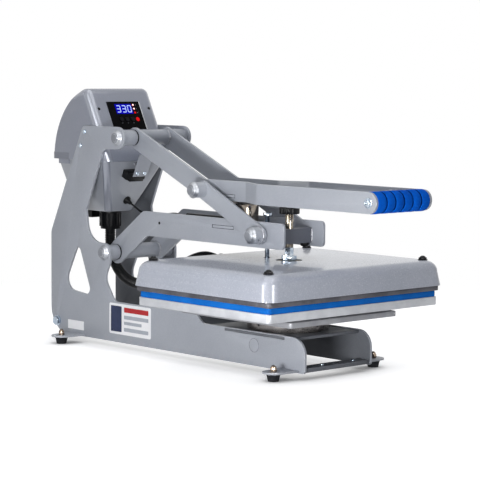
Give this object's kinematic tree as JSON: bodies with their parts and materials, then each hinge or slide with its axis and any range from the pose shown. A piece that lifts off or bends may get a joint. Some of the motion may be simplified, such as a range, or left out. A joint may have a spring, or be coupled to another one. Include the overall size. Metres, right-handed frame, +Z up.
{
  "type": "clamshell heat press",
  "caption": "Clamshell heat press: heated platen on hinged arms closes on a padded lower platen, driven by a toggle handle with foam grip, held by a magnet, with a rear control box.",
  "frame": {"origin": "on the bench, under the middle of the closed press's bounding box", "axes": "+X to the right as the user stands at the handle, +Y to the rear, +Z up"},
  "size_m": [0.532, 1.039, 0.5965],
  "materials": {
    "frame_paint": "satin grey powder coat",
    "box_paint": "satin grey powder coat",
    "cover_paint": "glossy speckled grey paint",
    "dark_steel": "oiled dark steel",
    "platen_aluminium": "milled",
    "heater_aluminium": "dark non-stick coat",
    "zinc": "zinc plated",
    "nickel": "nickel plated",
    "brass": "dull",
    "pad_silicone": "matt blue silicone",
    "grip_foam": "matt blue foam",
    "black_rubber": "matt",
    "black_plastic": "fine grain",
    "panel_black": "gloss",
    "display_blue": "lit blue",
    "indicator_red": "lit red",
    "board_green": "circuit board",
    "fibre": "mineral fibre"
  },
  "bodies": {
    "base": {"left_side_plate": "frame_paint", "right_side_plate": "frame_paint", "base_top_plate": "frame_paint", "front_strip": "frame_paint", "rear_tie": "frame_paint", "tie_bolts": "zinc", "foot_tabs": "frame_paint", "rubber_feet": "black_rubber", "foot_nuts": "brass", "upper_pivot_bolt": "nickel", "lower_pivot_bolt": "nickel", "pivot_spacers": "frame_paint", "pedestal_disc": "dark_steel", "socket_screws": "black_plastic", "platen_bracket": "platen_aluminium", "lower_platen": "platen_aluminium", "silicone_pad": "pad_silicone", "control_box": "box_paint", "control_cover": "box_paint", "display_panel": "panel_black", "display_window": "display_blue", "indicator_leds": "indicator_red", "panhead_screws": "zinc", "control_board": "board_green", "cable_gland": "black_plastic", "cord_grommet": "black_plastic", "limit_switch": "black_plastic", "switch_bracket": "zinc", "power_inlet": "black_plastic", "heater_hose": "black_plastic", "magnet_cable": "black_rubber"},
    "arm": {"left_arm": "frame_paint", "right_arm": "frame_paint", "arm_tube": "frame_paint", "magnet_plate": "frame_paint", "cross_block": "dark_steel", "electromagnet": "nickel", "cable_sleeve": "black_plastic"},
    "handle": {"left_lever": "frame_paint", "right_lever": "frame_paint", "lever_tube": "frame_paint", "armature_plate": "dark_steel", "grip_tube": "zinc", "foam_grip": "grip_foam", "grip_screws": "zinc"},
    "link": {"left_link": "frame_paint", "right_link": "frame_paint", "toggle_bolts": "nickel", "link_pins": "nickel"},
    "platen": {"platen_cover": "cover_paint", "heater_plate": "heater_aluminium", "insulation": "fibre", "cover_nuts": "black_plastic", "screw_coupling": "zinc", "guide_bolt": "zinc"},
    "knob": {"pressure_screw": "zinc", "pressure_knob": "black_plastic"},
    "down_key": {"down_button": "panel_black"},
    "set_key": {"set_button": "panel_black"},
    "up_key": {"up_button": "panel_black"}
  },
  "joints": [
    {"name": "arm_lift", "type": "hinge", "parent": "base", "child": "arm", "pos_m": [0, 0.32, 0.217], "axis": [-1, 0, 0], "range_deg": [0, 40], "deforming": ["heater_hose", "magnet_cable"]},
    {"name": "handle_lift", "type": "hinge", "parent": "base", "child": "handle", "pos_m": [0, 0.273, 0.484], "axis": [-1, 0, 0], "range_deg": [0, 83.2]},
    {"name": "link_swing", "type": "hinge", "parent": "arm", "child": "link", "pos_m": [0, -0.166, 0.29], "axis": [-1, 0, 0], "range_deg": [-59.1, 0]},
    {"name": "platen_height", "type": "slide", "parent": "arm", "child": "platen", "axis": [0, 0, 1], "range_m": [0, 0.008]},
    {"name": "knob_turn", "type": "hinge", "parent": "platen", "child": "knob", "pos_m": [0, -0.187, 0.33], "axis": [0, 0, 1], "range_deg": [0, 1152.1]},
    {"name": "down_press", "type": "slide", "parent": "base", "child": "down_key", "axis": [0, 0.891, -0.454], "range_m": [0, 0.0006], "stiffness_N_per_m": 400},
    {"name": "set_press", "type": "slide", "parent": "base", "child": "set_key", "axis": [0, 0.891, -0.454], "range_m": [0, 0.0006], "stiffness_N_per_m": 400},
    {"name": "up_press", "type": "slide", "parent": "base", "child": "up_key", "axis": [0, 0.891, -0.454], "range_m": [0, 0.0006], "stiffness_N_per_m": 400}
  ],
  "couplings": [
    {"joint": "handle_lift", "follows": "arm_lift", "ratio": 2.079},
    {"joint": "link_swing", "follows": "arm_lift", "ratio": -1.4759},
    {"joint": "knob_turn", "follows": "platen_height", "rad_per_m": 2513.3}
  ]
}
